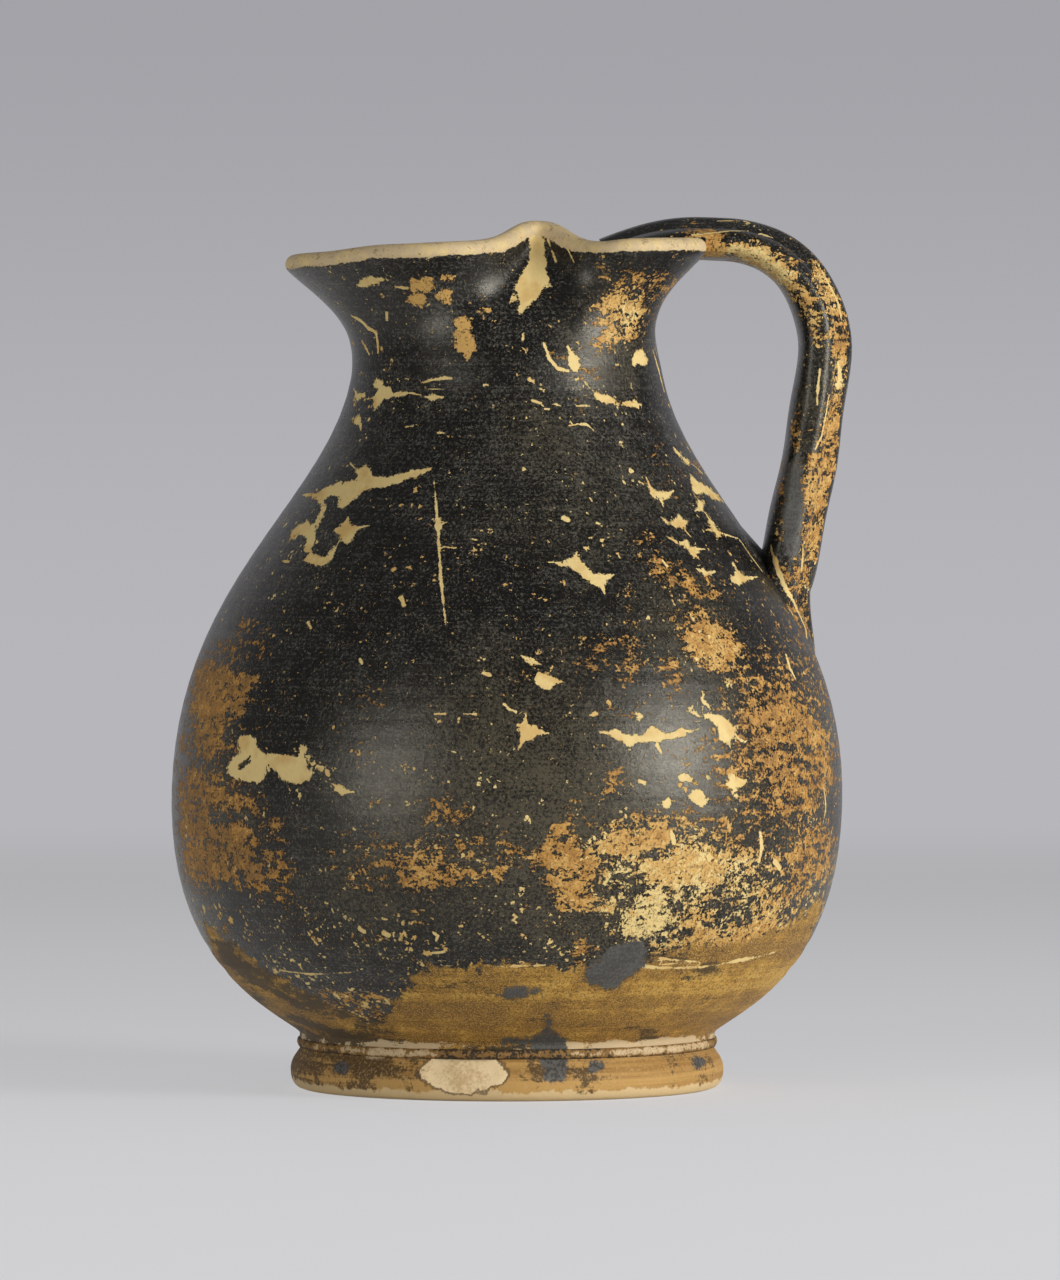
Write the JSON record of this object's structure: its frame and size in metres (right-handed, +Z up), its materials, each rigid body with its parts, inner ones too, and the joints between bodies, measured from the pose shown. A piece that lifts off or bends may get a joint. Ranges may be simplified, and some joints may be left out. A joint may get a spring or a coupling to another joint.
{
  "type": "trefoil oinochoe",
  "caption": "Squat wine jug with a swelling belly, narrow neck, three-lobed pouring mouth, ribbed strap handle and low ring foot.",
  "frame": {"origin": "on the vessel's vertical axis, at the plane that the foot stands on", "axes": "+Z up, +X towards the handle, -X towards the spout, +Y completes the right-handed frame"},
  "size_m": [0.1623, 0.16, 0.208],
  "materials": {
    "black_gloss": "near-black gloss slip over orange clay, worn and flaked to cream",
    "foot_clay": "ochre fired clay with worn dark slip",
    "luting_slip": "matt pale slip",
    "handle_gloss": "near-black gloss slip, worn along its edges",
    "rim_clay": "clay smoothed under the handle and covered in black slip",
    "root_clay": "clay smoothed round the handle's root, slip partly worn off"
  },
  "bodies": {
    "root": {"vessel_body": "black_gloss", "foot_ring": "foot_clay", "foot_slip": "luting_slip", "handle": "handle_gloss", "handle_rim_clay": "rim_clay", "handle_root_clay": "root_clay"}
  },
  "joints": []
}
